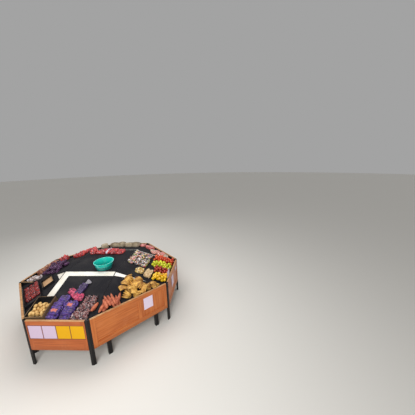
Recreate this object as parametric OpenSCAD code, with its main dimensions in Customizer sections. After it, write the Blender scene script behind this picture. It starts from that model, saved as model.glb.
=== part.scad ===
// Eight-sided produce display island with sloped decks, stocked with goods.
// Origin on the floor under the middle. The front side faces -Y and +Z is up.
// Sides are numbered 0 to 7 from the front side, counter-clockwise seen from above.
// Even sides are straight modules, odd sides are the three-cornered modules between them.

/* [Plan] */
// Length of a straight side, which is also the side of the square middle deck
cell = 1219; // [1150:1:1500]
// Height of the side panels' top edge above the floor
board_top = 1000; // [900:1:1100]
// Height of the side panels' bottom edge above the floor
board_bottom = 350; // [250:1:420]
// Height of the flat middle deck above the floor
ridge_top = 1290; // [1220:1:1350]
// Drop from the panels' top edge to the low edge of the sloped decks
lip = 120; // [90:1:180]

/* [Side panels] */
// Thickness of the rails and stiles of a side panel
panel_t = 32; // [24:1:45]
// Height of a panel's top and bottom rails
rail_h = 110; // [60:1:140]
// Height of the front panel's rail above its card frame
front_rail_h = 88; // [60:1:120]
// Width of a panel's upright stiles
stile_w = 80; // [50:1:120]
// Depth of the recessed field behind the rails and stiles
recess = 10; // [5:1:14]
// Width of the moulded step around the field
bead_w = 9; // [5:1:15]
// Share of a three-cornered module's panel that lies left of its middle stile
mid_stile_at = 0.59; // [0.4:0.01:0.6]
// Thickness of the pale strip on a panel's top edge
cap_t = 9; // [5:1:15]
// Amount by which the strip stands proud of the panel's outer face
cap_lap = 2; // [1:1:5]
// Thickness of the black board inside a panel
liner_t = 6; // [3:1:10]

/* [Posts and legs] */
// Length of a corner post's face along each of its two sides
post_face = 50; // [35:1:65]
// Depth by which a corner post stands behind the panel faces
post_setback = 4; // [2:1:10]
// Side of the square legs under the corner modules
leg_w = 76; // [50:1:90]
// Distance from a corner post's tip to the middle of the nearest leg
leg_in = 330; // [280:1:400]
// Side of the square legs of the middle frame
frame_leg_w = 60; // [40:1:80]
// Height of the middle frame's rails
frame_rail_h = 80; // [50:1:120]

/* [Decks] */
// Thickness of the white decks
deck_t = 18; // [12:1:25]
// Width of the battens that carry the sloped decks
ledger_w = 30; // [20:1:36]
// Height of those battens at the panel
ledger_h = 45; // [30:1:60]
// Width of the seam between neighbouring decks
seam = 5; // [2:1:8]
// Thickness of the mats on the decks
mat_t = 4; // [2:1:6]
// Width of the white strip left bare along a mat's upper edge
strip_w = 120; // [80:1:180]
// Width of the white strip left bare at the front mat's left edge
side_strip_w = 160; // [60:1:200]
// Width near the middle deck of the white strip right of the front right mat
wedge_w = 125; // [80:1:160]
// Share of the front right deck's depth at which that strip begins
wedge_from = 0.35; // [0.2:0.01:0.5]
// Length of the white corner left bare on the front left deck
bare_corner = 150; // [100:1:160]

/* [Cards] */
// Distance from the corner posts to the ends of the front card frame
card_frame_in = 16; // [10:1:60]
// Width of a card hung on a side
card_w = 216; // [180:1:225]
// Height of a price card
card_h = 279; // [200:1:300]
// Thickness of a price card in its sleeve
card_t = 2; // [1:0.5:3]
// Width of the bars of the front card frame
card_bar = 14; // [8:1:20]
// Thickness of the front card frame
card_frame_t = 8; // [5:1:9]

/* [Crate and trays] */
// Length of the potato crate up the slope
crate_l = 440; // [350:1:450]
// Width of the potato crate
crate_w = 345; // [240:1:350]
// Height of the potato crate
crate_h = 120; // [90:1:130]
// Thickness of the crate's boards
crate_t = 9; // [6:1:14]
// Width of the red packs' tray along the panel
tray_w = 860; // [640:1:880]
// Depth of the red packs' tray up the slope
tray_d = 310; // [250:1:320]
// Width of the upper tray
upper_tray_w = 360; // [300:1:380]
// Depth of the upper tray up the slope
upper_tray_d = 230; // [180:1:240]
// Height of the two trays
tray_h = 60; // [40:1:80]
// Thickness of the trays' walls
tray_t = 4; // [3:1:6]

/* [Tub] */
// Diameter of the tub's rim
tub_d = 450; // [360:1:500]
// Diameter of the tub's base
tub_base_d = 350; // [280:1:360]
// Height of the tub
tub_h = 170; // [120:1:200]
// Thickness of the tub's wall
tub_t = 4; // [3:0.5:6]
// Width of the tub's rolled rim
tub_rim_w = 8; // [5:1:12]

/* [Goods] */
// Length of a blue net bag
blue_bag_l = 410; // [340:1:430]
// Width of a blue net bag
blue_bag_w = 240; // [180:1:250]
// Length of the plum net bags
plum_bag_l = 320; // [260:1:330]
// Width of a plum net bag
plum_bag_w = 150; // [100:1:160]
// Clearance between neighbouring goods on the front slope
goods_gap = 14; // [8:1:30]
// Height of the banana heap above the mat
banana_h = 150; // [80:1:180]
// Height of the sweet potato heap above the mat
sweet_potato_h = 110; // [60:1:140]
// Height of the potatoes above the crate's floor
potato_h = 95; // [60:1:110]
// Height of the blue net bags above the mat
blue_bag_h = 115; // [80:1:140]
// Height of the small net bags above the mat
plum_bag_h = 85; // [60:1:120]
// Height of the clear bags above the mat
clear_bag_h = 90; // [60:1:120]
// Height of the red packs above their tray's floor
red_pack_h = 55; // [40:1:80]
// Height of the grape heap above the mat
grape_h = 130; // [80:1:160]
// Height of the small bags on the left slope above the mat
small_bag_h = 150; // [80:1:160]
// Height of the fruit heaps on the right slope above the mat
fruit_h = 120; // [80:1:150]
// Height of the mixed packs above the mat
mixed_pack_h = 90; // [60:1:120]
// Height of the paper bag above the mat
paper_bag_h = 80; // [50:1:110]
// Height of the pink packs above the mat
pink_pack_h = 140; // [80:1:170]
// Height of the white sacks above the mat
sack_h = 190; // [100:1:210]
// Height of the red net bags above the mat
red_bag_h = 130; // [70:1:150]

/* [Hidden] */

// Gap at a joint where two pieces seat against each other
fit = 0.3;
// Half of the turn from one side to the next
half_turn = 22.5;
sides = [0:7];
straight_sides = [0, 2, 4, 6];
corner_sides = [1, 3, 5, 7];

wood = "peru";
pale_wood = "burlywood";
black = [0.07, 0.07, 0.08];
white_board = [0.95, 0.94, 0.90];
mat_gray = [0.26, 0.26, 0.27];

// Everything between a panel's outer face and the deck's low edge
deck_inset = panel_t + liner_t + 2 * fit;
rise = ridge_top - board_top + lip;
low_edge = board_top - lip;

function is_corner(i) = i % 2 == 1;
function side_len(i) = is_corner(i) ? sqrt(2) * cell : cell;
function apothem(i) = is_corner(i) ? sqrt(2) * cell : 1.5 * cell;
function depth(i) = is_corner(i) ? side_len(i) / 2 : cell;
function pitch(i) = atan(rise / depth(i));
function deck_top(i, y) = low_edge + y * tan(pitch(i));
function deck_under(i, y) = deck_top(i, y) - deck_t / cos(pitch(i));
function mat_top(i, y) = deck_top(i, y) + (mat_t + 2 * fit) / cos(pitch(i));
function panel_len(i) = side_len(i) - 2 * post_face - 2 * fit;

// Frame of a side: X runs along it, Y points inwards from its outer face
module at_side(i) {
    rotate([0, 0, 45 * i]) translate([0, -apothem(i), 0]) children();
}

// Frame on a sloped deck: Z stands square to it, Y points up the slope
module on_deck(i, x, y, lift = 0) {
    at_side(i) translate([x, y, deck_top(i, y)]) rotate([pitch(i), 0, 0])
        translate([0, 0, lift]) children();
}

// Frame on the mat of a sloped deck, at shares of its half width and of its depth
module on_mat(i, fx, fy) {
    on_deck(i, fx * side_len(i) / 2, fy * depth(i), mat_t + 2 * fit) children();
}

// One profile of Y and Z drawn along a side, centred on it
module along_side(i, length, profile) {
    at_side(i) translate([-length / 2, 0, 0]) rotate([90, 0, 90])
        linear_extrude(length) polygon(profile);
}

// A board in the plane of a deck, from its outline and its two faces' heights
module sloped_board(i, outline, low, high) {
    at_side(i) intersection() {
        linear_extrude(2 * ridge_top) polygon(outline);
        translate([-cell, 0, low_edge]) rotate([pitch(i), 0, 0])
            translate([0, -cell, low]) cube([2 * cell, 4 * cell, high - low]);
    }
}

// Pocket with a moulded step, sunk into a panel's outer face
module pocket(x0, x1, z0, z1) {
    step = recess / 3;
    translate([x0, -1, z0]) cube([x1 - x0, 1 + step, z1 - z0]);
    translate([x0 + bead_w, -1, z0 + bead_w])
        cube([x1 - x0 - 2 * bead_w, 1 + recess, z1 - z0 - 2 * bead_w]);
}

// Frame and field side panel, with a middle stile on the long sides
module side_panel(i) {
    l = panel_len(i);
    top = board_top - cap_t;
    field_low = board_bottom + rail_h;
    field_high = top - rail_h;
    mid = l * (mid_stile_at - 0.5);
    color(wood) at_side(i) difference() {
        translate([-l / 2, 0, board_bottom]) cube([l, panel_t, top - board_bottom]);
        if (is_corner(i)) {
            pocket(-l / 2 + stile_w, mid - stile_w / 2, field_low, field_high);
            pocket(mid + stile_w / 2, l / 2 - stile_w, field_low, field_high);
        } else {
            pocket(-l / 2 + stile_w, l / 2 - stile_w, field_low, field_high);
        }
    }
}

module front_panel() {
    l = panel_len(0);
    top = board_top - cap_t;
    color(wood) at_side(0) difference() {
        // The card frame lies in this pocket, flush with the panel's face
        translate([-l / 2, 0, board_bottom]) cube([l, panel_t, top - board_bottom]);
        translate([-card_frame_l / 2 - fit, -1, card_frame_top - card_frame_h - fit])
            cube([card_frame_l + 2 * fit, 1 + recess, card_frame_h + 2 * fit]);
    }
}

module front_right_panel() side_panel(1);
module right_panel() side_panel(2);
module back_right_panel() side_panel(3);
module back_panel() side_panel(4);
module back_left_panel() side_panel(5);
module left_panel() side_panel(6);
module front_left_panel() side_panel(7);

module panel_caps() {
    color(pale_wood) for (i = sides)
        along_side(i, panel_len(i), [
            [-cap_lap, board_top - cap_t], [panel_t + liner_t, board_top - cap_t],
            [panel_t + liner_t, board_top - cap_lap], [panel_t + liner_t - cap_lap, board_top],
            [0, board_top], [-cap_lap, board_top - cap_lap]]);
}

// Folded post at the right-hand end of a side, with the next side's face turned by 45 degrees
module corner_post(i) {
    near = post_setback;
    far = panel_t + liner_t;
    end = side_len(i) / 2;
    c = cos(45);
    at_side(i) linear_extrude(board_top - cap_lap) polygon([
        [end - post_face, near],
        [end - near * tan(half_turn), near],
        [end + (post_face - near) * c, (post_face + near) * c],
        [end + (post_face - far) * c, (post_face + far) * c],
        [end - far * tan(half_turn), far],
        [end - post_face, far]]);
}

module corner_posts() {
    color(black) for (i = sides) corner_post(i);
}

module lip_liners() {
    color(black) for (i = sides) {
        z0 = deck_under(i, deck_inset) - ledger_h;
        along_side(i, panel_len(i), [
            [panel_t + fit, z0], [panel_t + liner_t, z0],
            [panel_t + liner_t, board_top - cap_t - fit], [panel_t + fit, board_top - cap_t - fit]]);
    }
}

// Batten under the low edge of a deck, with its top planed to the deck's pitch
module low_ledger(i) {
    y0 = deck_inset - fit;
    y1 = y0 + ledger_w;
    z0 = deck_under(i, deck_inset) - ledger_h;
    length = is_corner(i) ? side_len(i) - 2 * (y1 + seam) : panel_len(i) - 2 * y1 * tan(half_turn);
    along_side(i, length, [
        [y0, z0], [y1, z0], [y1, deck_under(i, y1) - fit], [y0, deck_under(i, y0) - fit]]);
}

// Batten on the middle frame, under the high edge of a straight deck
module high_ledger(i) {
    y1 = depth(i) - fit;
    y0 = y1 - ledger_w;
    along_side(i, cell - 2 * frame_leg_w, [
        [y0, deck_under(i, y0) - ledger_h], [y1, deck_under(i, y0) - ledger_h],
        [y1, deck_under(i, y1) - fit], [y0, deck_under(i, y0) - fit]]);
}

module deck_ledgers() {
    color(black) {
        for (i = sides) low_ledger(i);
        for (i = straight_sides) high_ledger(i);
    }
}

// Each corner module stands on two legs behind its panel and one near the middle deck
module corner_module_legs() {
    y0 = deck_inset - fit;
    color(black) for (i = corner_sides) {
        low_top = deck_under(i, deck_inset) - ledger_h - fit;
        for (s = [-1, 1])
            at_side(i) translate([s * (side_len(i) / 2 - leg_in) - leg_w / 2, y0, 0])
                cube([leg_w, leg_w, low_top]);
        inner_y = depth(i) - 2 * leg_w - seam;
        at_side(i) intersection() {
            translate([-leg_w / 2, inner_y, 0]) cube([leg_w, leg_w, ridge_top]);
            translate([-cell / 2, 0, deck_under(i, 0) - fit]) rotate([pitch(i), 0, 0])
                translate([0, 0, -2 * ridge_top]) cube([cell, 2 * cell, 2 * ridge_top]);
        }
    }
}

module center_frame() {
    reach = cell / 2 - frame_leg_w / 2;
    top = ridge_top - deck_t - fit;
    color(black) {
        for (sx = [-1, 1], sy = [-1, 1])
            translate([sx * reach - frame_leg_w / 2, sy * reach - frame_leg_w / 2, 0])
                cube([frame_leg_w, frame_leg_w, top]);
        for (i = straight_sides)
            rotate([0, 0, 45 * i]) translate([-reach, -reach - frame_leg_w / 2, top - frame_rail_h])
                cube([2 * reach, frame_leg_w, frame_rail_h]);
    }
}

module center_deck() {
    color(white_board) translate([-cell / 2, -cell / 2, ridge_top - deck_t])
        cube([cell, cell, deck_t]);
}

// Outline of a deck or mat between two seams, an inset at the lip and one at the ridge
function straight_outline(left, right, low, high) =
    let (edge = cell / 2, near = low * tan(half_turn))
    [[-min(edge - near, edge - left), low], [min(edge - near, edge - right), low],
     [edge - right, max(low, low + near - right)], [edge - right, cell - high],
     [-edge + left, cell - high], [-edge + left, max(low, low + near - left)]];

function corner_outline(left, right, low, high) =
    let (edge = side_len(1) / 2, l = edge - left * sqrt(2), r = edge - right * sqrt(2),
         tip_y = min((l + r) / 2, depth(1) - high),
         xr = r - tip_y, xl = l - tip_y)
    [[low - l, low], [r - low, low], [xr, tip_y], [-xl, tip_y]];

// Outline of the front right mat, whose right edge leaves the seam part way up the slope
function wedge_outline(low) =
    let (edge = side_len(1) / 2 - seam * sqrt(2), from = wedge_from * depth(1),
         lean = 1 + wedge_w * sqrt(2) / (depth(1) - from),
         tip_y = (2 * edge - from + lean * from) / (1 + lean))
    [[low - edge, low], [edge - low, low], [edge - from, from], [tip_y - edge, tip_y]];

module sloped_deck(i) {
    outline = is_corner(i)
        ? corner_outline(seam / 2, seam / 2, deck_inset, seam)
        : straight_outline(seam / 2, seam / 2, deck_inset, fit);
    color(white_board) sloped_board(i, outline, -deck_t, 0);
}

module front_deck() sloped_deck(0);
module front_right_deck() sloped_deck(1);
module right_deck() sloped_deck(2);
module back_right_deck() sloped_deck(3);
module back_deck() sloped_deck(4);
module back_left_deck() sloped_deck(5);
module left_deck() sloped_deck(6);
module front_left_deck() sloped_deck(7);

module center_mat() {
    size = cell - 2 * seam;
    color(mat_gray) translate([-size / 2, -size / 2, ridge_top + fit]) cube([size, size, mat_t]);
}

// Bare strips of each side's mat: left edge, right edge and upper edge
mat_bare = [
    [side_strip_w, seam, strip_w], [seam, seam, seam],
    [seam, seam, seam], [strip_w / 2, seam, strip_w],
    [seam, seam, strip_w / 2], [seam, seam, frame_leg_w + seam],
    [seam, seam, seam], [seam, seam, bare_corner]];

module slope_mats() {
    color(mat_gray) for (i = sides) {
        b = mat_bare[i];
        low = deck_inset + seam;
        outline = i == 1 ? wedge_outline(low)
            : is_corner(i) ? corner_outline(b[0], b[1], low, b[2])
            : straight_outline(b[0], b[1], low, b[2]);
        sloped_board(i, outline, fit, fit + mat_t);
    }
}

front_cards = 4;
card_frame_l = panel_len(0) - 2 * card_frame_in;
front_card_w = (card_frame_l - (front_cards + 1) * card_bar) / front_cards;
card_frame_h = card_h + 2 * card_bar;
card_frame_top = board_top - cap_t - front_rail_h;
card_frame_y = recess - card_frame_t - fit;

function front_card_x(k) = -card_frame_l / 2 + card_bar + k * (front_card_w + card_bar);

module front_card_frame() {
    color("saddlebrown") at_side(0)
        translate([0, card_frame_y, 0]) difference() {
            translate([-card_frame_l / 2, 0, card_frame_top - card_frame_h])
                cube([card_frame_l, card_frame_t, card_frame_h]);
            for (k = [0:front_cards - 1])
                translate([front_card_x(k), -1, card_frame_top - card_h - card_bar])
                    cube([front_card_w, 1 + 2 * card_t, card_h]);
        }
}

// A card hung on the outer face of a side, its left edge at x and its top edge at z
module hung_card(i, x, z, size) {
    at_side(i) translate([x, -card_t - fit, z - size[1]]) cube([size[0], card_t, size[1]]);
}

// Drop of the lone cards' top edges from the top of the front right and right panels
front_right_card_drop = 112;
right_card_drop = 105;
front_right_card_x = 233;
right_card_x = -215;
small_card_x = 279;
small_card = [150, 95];
upright_card_x = -430;

module price_cards() {
    color("lavender") {
        for (k = [0:front_cards - 1])
            at_side(0) translate([front_card_x(k) + fit, card_frame_y + card_t - fit,
                                  card_frame_top - card_h - card_bar + fit])
                cube([front_card_w - 2 * fit, card_t, card_h - 2 * fit]);
        hung_card(1, front_right_card_x, board_top - front_right_card_drop, [card_w, card_h]);
        hung_card(2, right_card_x, board_top - right_card_drop, [card_w, card_h]);
        hung_card(2, small_card_x, board_top - right_card_drop, small_card);
        at_side(2) translate([upright_card_x, deck_inset + fit, mat_top(2, deck_inset + fit + card_t)])
            cube([card_w, card_t, card_h]);
    }
}

// Divider on the seam between the left and front left modules, level with the panels' tops
module end_board() {
    y0 = deck_inset + fit;
    y1 = y0 + (board_top - mat_top(6, y0)) / tan(pitch(6));
    x = cell / 2 - panel_t - seam;
    color(wood) at_side(6) translate([x, 0, 0]) rotate([90, 0, 90]) linear_extrude(panel_t / 2)
        polygon([[y0, mat_top(6, y0)], [y1, board_top], [y0, board_top]]);
}

// Open box standing on the mat: width along the side, depth up the slope
module open_box(w, d, h, t) {
    difference() {
        translate([-w / 2, -d / 2, 0]) cube([w, d, h]);
        translate([-w / 2 + t, -d / 2 + t, t]) cube([w - 2 * t, d - 2 * t, h]);
    }
}

// The crate reaches over the seam at the front slope's left end
crate_overhang = 26;
crate_x = crate_w / 2 - crate_overhang - cell / 2;
crate_up = 0.25;
crate_turn = 4;
tray_at = [-0.05, 0.27];
upper_tray_at = [-0.06, 0.61];

module potato_crate() {
    color(pale_wood) on_mat(0, 2 * crate_x / cell, crate_up) rotate([0, 0, crate_turn])
        open_box(crate_w, crate_l, crate_h, crate_t);
}

module pack_tray() {
    color(black) on_mat(7, tray_at[0], tray_at[1]) open_box(tray_w, tray_d, tray_h, tray_t);
}

module upper_tray() {
    color(black) on_mat(7, upper_tray_at[0], upper_tray_at[1])
        open_box(upper_tray_w, upper_tray_d, tray_h, tray_t);
}

// Rounded outline of a heap or bag
function soft_outline(a, b, n = 20, square = 0.6) = [
    for (k = [0:n - 1]) let (t = 360 * k / n, c = cos(t), s = sin(t))
        [a / 2 * sign(c) * pow(abs(c), square), b / 2 * sign(s) * pow(abs(s), square)]];

// Each level of a soft form: its share of the outline and of the height
heap_levels = [[1, 0], [0.94, 0.4], [0.74, 0.8], [0.4, 1]];
bag_levels = [[0.84, 0], [1, 0.3], [0.93, 0.7], [0.6, 1]];

// Thickness of the slices between which a soft form is drawn
skin = 1;

module soft_form(a, b, h, levels) {
    hull() for (v = levels)
        translate([0, 0, v[1] * (h - skin)])
            linear_extrude(skin) polygon(soft_outline(a * v[0], b * v[0]));
}

// Heap over a stretch of a deck, given as shares of its half width and of its depth
module heap(i, span_x, span_y, h, levels = heap_levels) {
    a = (span_x[1] - span_x[0]) * side_len(i) / 2;
    b = (span_y[1] - span_y[0]) * depth(i) / cos(pitch(i));
    on_mat(i, (span_x[0] + span_x[1]) / 2, (span_y[0] + span_y[1]) / 2)
        soft_form(a, b, h, levels);
}

function middle_of(points) =
    [for (axis = [0, 1]) [for (p = points) p[axis]] * [for (p = points) 1] / len(points)];

// Heap over a polygon of a deck, its corners given as the same shares
module heap_over(i, corners, h) {
    points = [for (c = corners) [c[0] * side_len(i) / 2, c[1] * depth(i) / cos(pitch(i))]];
    middle = middle_of(points);
    on_mat(i, 0, 0) hull() for (v = heap_levels)
        translate([0, 0, v[1] * (h - skin)]) linear_extrude(skin)
            polygon([for (p = points) middle + v[0] * (p - middle)]);
}

// Bag on the front slope, x from its middle and y from its outer face, turned in its plane
module front_bag(x, y, size, turn) {
    on_mat(0, 2 * x / cell, y / cell) rotate([0, 0, turn])
        soft_form(size[0], size[1], size[2], bag_levels);
}

// The potatoes fill the crate's lower part, the packs their tray's part next to the crate
fill = 0.75;
// Clearance between these goods and the walls round them
slack = 0.4 * goods_gap;

module potatoes() {
    room = crate_l - 2 * crate_t;
    color("khaki") on_mat(0, 2 * crate_x / cell, crate_up) rotate([0, 0, crate_turn])
        translate([0, -room * (1 - fill) / 2, crate_t + fit])
            soft_form(crate_w - 2 * crate_t - slack, room * fill - slack, potato_h, heap_levels);
}

module red_packs() {
    room = tray_w - 2 * tray_t;
    color("crimson") on_mat(7, tray_at[0], tray_at[1])
        translate([-room * (1 - fill) / 2, 0, tray_t + fit])
            soft_form(room * fill - slack, tray_d - 2 * tray_t - slack, red_pack_h, heap_levels);
}

// The blue bags lie side by side at the crate's right
blue_x = [crate_x + (crate_w + blue_bag_w) / 2 + goods_gap,
    crate_x + crate_w / 2 + 1.5 * blue_bag_w + 2 * goods_gap];
blue_y = 0.235 * cell;

module blue_net_bags() {
    color("slateblue") for (x = blue_x)
        front_bag(x, blue_y, [blue_bag_w, blue_bag_l, blue_bag_h], 0);
}

// The plum bags lie above the blue ones, the second one leaning up the slope
plum_turns = [-14, 28];
plum_at = [0.5 * (blue_x[0] + blue_x[1]),
    blue_y + cos(pitch(0)) * (blue_bag_l / 2 + plum_bag_l / 2 * sin(-plum_turns[0]) + plum_bag_w / 2)
        + goods_gap];

module plum_net_bags() {
    color("purple") {
        front_bag(plum_at[0], plum_at[1], [plum_bag_l, plum_bag_w, plum_bag_h], plum_turns[0]);
        front_bag(plum_at[0] + 0.46 * plum_bag_l,
                  plum_at[1] + plum_bag_w + 2 * goods_gap,
                  [plum_bag_w, plum_bag_l, plum_bag_h], plum_turns[1]);
    }
}

// The clear bags fill the room between the blue bags and the right seam
module clear_bags() {
    room = [2 / cell * (blue_x[1] + blue_bag_w / 2 + goods_gap), 0.92];
    color("rosybrown") {
        heap(0, room, [0.08, 0.262], clear_bag_h, bag_levels);
        heap(0, room, [0.28, 0.475], clear_bag_h, bag_levels);
    }
}

module grapes() {
    color("indigo")
        heap_over(6, [[-0.22, 0.27], [0.48, 0.27], [0.92, 0.62], [0.90, 0.74], [0.80, 0.80],
                      [-0.05, 0.78], [-0.28, 0.62], [-0.30, 0.40]], grape_h);
}

// Net bags stand along the left panel, with two pale bags at the end board
module small_bags() {
    color("sienna") for (fx = [-0.84, -0.45, -0.06])
        heap(6, [fx, fx + 0.37], [0.061, 0.209], small_bag_h, bag_levels);
    color("linen") {
        heap(6, [0.56, 0.90], [0.09, 0.27], 0.7 * small_bag_h, bag_levels);
        heap(6, [0.69, 0.95], [0.285, 0.41], 0.7 * small_bag_h, bag_levels);
    }
}

module sweet_potatoes() {
    color("indianred")
        heap_over(1, [[-0.76, 0.17], [-0.70, 0.12], [-0.28, 0.12], [-0.18, 0.22], [-0.18, 0.28],
                      [-0.34, 0.40], [-0.42, 0.40], [-0.76, 0.22]], sweet_potato_h);
}

module bananas() {
    color("goldenrod")
        heap_over(1, [[-0.24, 0.42], [-0.08, 0.20], [0.14, 0.09], [0.82, 0.09], [0.84, 0.13],
                      [0.29, 0.66], [0.12, 0.72], [-0.10, 0.60]], banana_h);
}

module peppers() {
    color("gold") heap(2, [-0.90, -0.385], [0.06, 0.36], fruit_h);
}

module plums() {
    color("darkred") heap(2, [-0.365, -0.005], [0.06, 0.42], fruit_h);
}

module pears() {
    color("yellowgreen") heap(2, [0.005, 0.445], [0.06, 0.50], fruit_h);
}

module apples() {
    color("orangered") heap(2, [0.455, 0.95], [0.06, 0.52], fruit_h);
}

module mixed_packs() {
    color("lightgreen") {
        heap(2, [-0.73, -0.38], [0.535, 0.715], mixed_pack_h, bag_levels);
        heap(2, [-0.20, 0.31], [0.55, 0.95], mixed_pack_h);
        heap(2, [0.34, 0.85], [0.55, 0.95], mixed_pack_h);
    }
}

module paper_bag() {
    color("tan") heap(2, [-0.86, -0.28], [0.375, 0.525], paper_bag_h, bag_levels);
}

module pink_packs() {
    color("palevioletred") {
        heap_over(3, [[-0.72, 0.12], [-0.68, 0.10], [0.08, 0.10], [0.12, 0.14], [0.10, 0.46],
                      [0.06, 0.50], [-0.42, 0.50], [-0.72, 0.22]], pink_pack_h);
        heap(3, [0.27, 0.65], [0.11, 0.37], 0.8 * pink_pack_h, bag_levels);
        heap(4, [-0.97, -0.69], [0.13, 0.31], 0.8 * pink_pack_h, bag_levels);
    }
}

module white_sacks() {
    color("gainsboro") {
        heap(4, [-0.66, 0.13], [0.09, 0.39], sack_h, bag_levels);
        heap(4, [0.16, 0.95], [0.09, 0.39], sack_h, bag_levels);
        heap(5, [-0.70, -0.44], [0.11, 0.30], sack_h, bag_levels);
    }
}

// One group lies on the middle deck, single bags on the left and back left slopes
module red_net_bags() {
    color("firebrick") {
        translate([-0.016 * cell, 0.349 * cell, ridge_top + mat_t + 2 * fit])
            soft_form(0.624 * cell, 0.254 * cell, red_bag_h, heap_levels);
        translate([-0.41 * cell, 0.345 * cell, ridge_top + mat_t + 2 * fit])
            soft_form(0.14 * cell, 0.213 * cell, red_bag_h, bag_levels);
        heap(6, [-0.98, -0.57], [0.59, 0.90], red_bag_h, bag_levels);
        heap(6, [-0.98, -0.64], [0.24, 0.40], 1.45 * red_bag_h, bag_levels);
        heap(5, [-0.18, 0.18], [0.54, 0.80], red_bag_h, bag_levels);
    }
}

tub_at = [0.197 * cell, -0.34 * cell];

// Tapered round tub with a flat rolled rim
module tub() {
    rim_h = 8;
    body_d = tub_d - 2 * tub_rim_w;
    $fn = 96;
    color("mediumturquoise") translate([tub_at[0], tub_at[1], ridge_top + mat_t + 2 * fit])
        difference() {
            union() {
                cylinder(h = tub_h, d1 = tub_base_d, d2 = body_d);
                translate([0, 0, tub_h - rim_h]) cylinder(h = rim_h, d = tub_d);
            }
            translate([0, 0, tub_t])
                cylinder(h = tub_h, d1 = tub_base_d - 2 * tub_t, d2 = body_d - 2 * tub_t);
        }
}

front_panel();
front_right_panel();
right_panel();
back_right_panel();
back_panel();
back_left_panel();
left_panel();
front_left_panel();
panel_caps();
corner_posts();
lip_liners();
deck_ledgers();
corner_module_legs();
center_frame();
center_deck();
front_deck();
front_right_deck();
right_deck();
back_right_deck();
back_deck();
back_left_deck();
left_deck();
front_left_deck();
center_mat();
slope_mats();
front_card_frame();
price_cards();
end_board();
potato_crate();
potatoes();
blue_net_bags();
plum_net_bags();
clear_bags();
pack_tray();
red_packs();
upper_tray();
grapes();
small_bags();
sweet_potatoes();
bananas();
peppers();
plums();
pears();
apples();
mixed_packs();
paper_bag();
pink_packs();
white_sacks();
red_net_bags();
tub();
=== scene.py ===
import math
import random

import bmesh
import bpy
from mathutils import Matrix, Vector, noise


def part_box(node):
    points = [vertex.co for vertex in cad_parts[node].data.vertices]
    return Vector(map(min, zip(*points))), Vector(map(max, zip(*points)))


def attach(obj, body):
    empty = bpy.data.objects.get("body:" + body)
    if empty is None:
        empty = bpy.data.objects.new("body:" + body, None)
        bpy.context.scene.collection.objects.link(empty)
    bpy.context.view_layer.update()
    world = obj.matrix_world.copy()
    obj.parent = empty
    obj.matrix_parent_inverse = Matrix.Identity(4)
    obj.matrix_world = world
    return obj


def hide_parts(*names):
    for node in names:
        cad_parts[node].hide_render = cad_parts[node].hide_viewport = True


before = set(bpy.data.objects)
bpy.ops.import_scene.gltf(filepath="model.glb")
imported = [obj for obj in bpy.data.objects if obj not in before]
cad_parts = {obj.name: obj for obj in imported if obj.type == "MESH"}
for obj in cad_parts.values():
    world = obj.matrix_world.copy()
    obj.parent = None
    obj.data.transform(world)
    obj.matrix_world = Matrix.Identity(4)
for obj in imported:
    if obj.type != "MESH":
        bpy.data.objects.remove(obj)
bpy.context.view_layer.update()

# The whole island: eight side modules round a square middle deck, seen at a slant from above.
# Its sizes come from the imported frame. The camera stands where the photograph was taken from, and
# its picture is as wide as it is high.
deck_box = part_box("center_deck")
cell, ridge_top = deck_box[1].x - deck_box[0].x, deck_box[1].z
board_top, board_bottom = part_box("panel_caps")[1].z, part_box("front_panel")[0].z
camera_place = (2.9752, -4.9693, 3.8144)
camera_turns = (77.114, 1.184, 1.903)


def placed(name, data):
    """A new object in the scene"""
    made = bpy.data.objects.new(name, data)
    bpy.context.scene.collection.objects.link(made)
    return made


camera_data = bpy.data.cameras.new("camera")
camera_data.sensor_width = 36
camera_data.lens = 18
camera = placed("camera", camera_data)
camera.location = camera_place
camera.rotation_euler = [math.radians(turn) for turn in camera_turns]
bpy.context.scene.camera = camera

# Side panels: frame-and-field boards of orange-brown laminate, screwed to the corner posts. The
# grain runs along the rails and up the stiles, and on the corner modules also up the field at
# the right of the middle stile.
post_face = 0.05
stile_w, rail_h, mid_stile_at = 0.08, 0.11, 0.59


def rgb(red, green, blue):
    """A colour as a screen shows it, made linear"""
    parts = [v / 255 for v in (red, green, blue)]
    return tuple(p / 12.92 if p < 0.04045 else ((p + 0.055) / 1.055) ** 2.4 for p in parts) + (1,)


def node(tree, kind, inputs=None, **settings):
    """One shader node, with values or links on its inputs"""
    made = tree.nodes.new("ShaderNode" + kind)
    for name, value in settings.items():
        setattr(made, name, value)
    for socket, value in (inputs or {}).items():
        if isinstance(value, bpy.types.NodeSocket):
            tree.links.new(value, made.inputs[socket])
        else:
            made.inputs[socket].default_value = value
    return made


def maths(tree, operation, *values):
    return node(tree, "Math", dict(enumerate(values)), operation=operation).outputs[0]


def above(tree, value, limit):
    return maths(tree, "GREATER_THAN", value, limit)


def times(tree, first, second):
    return maths(tree, "MULTIPLY", first, second)


def plus(tree, first, second):
    return maths(tree, "ADD", first, second)


def blend(tree, factor, first, second):
    """Colour mixed from two colours"""
    return node(tree, "Mix", {0: factor, 6: first, 7: second}, data_type="RGBA").outputs[2]


def over(tree, colour, mask, paint, share=1):
    """A paint laid over a colour where a mask is 1, as thickly as the share says"""
    return blend(tree, mask if share == 1 else times(tree, mask, share), colour, rgb(*paint))


def soft_step(tree, value, low, high):
    """0 below low, 1 above high, smooth between"""
    return node(tree, "MapRange", {"Value": value, "From Min": low, "From Max": high},
                interpolation_type="SMOOTHSTEP").outputs[0]


def mottle(tree, vector, scale, detail=2, distortion=0):
    """Noise from 0 to 1"""
    return node(tree, "TexNoise", {"Vector": vector, "Scale": scale, "Detail": detail,
                                   "Distortion": distortion}).outputs[0]


def xyz(tree, vector):
    return node(tree, "SeparateXYZ", {"Vector": vector}).outputs


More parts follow.
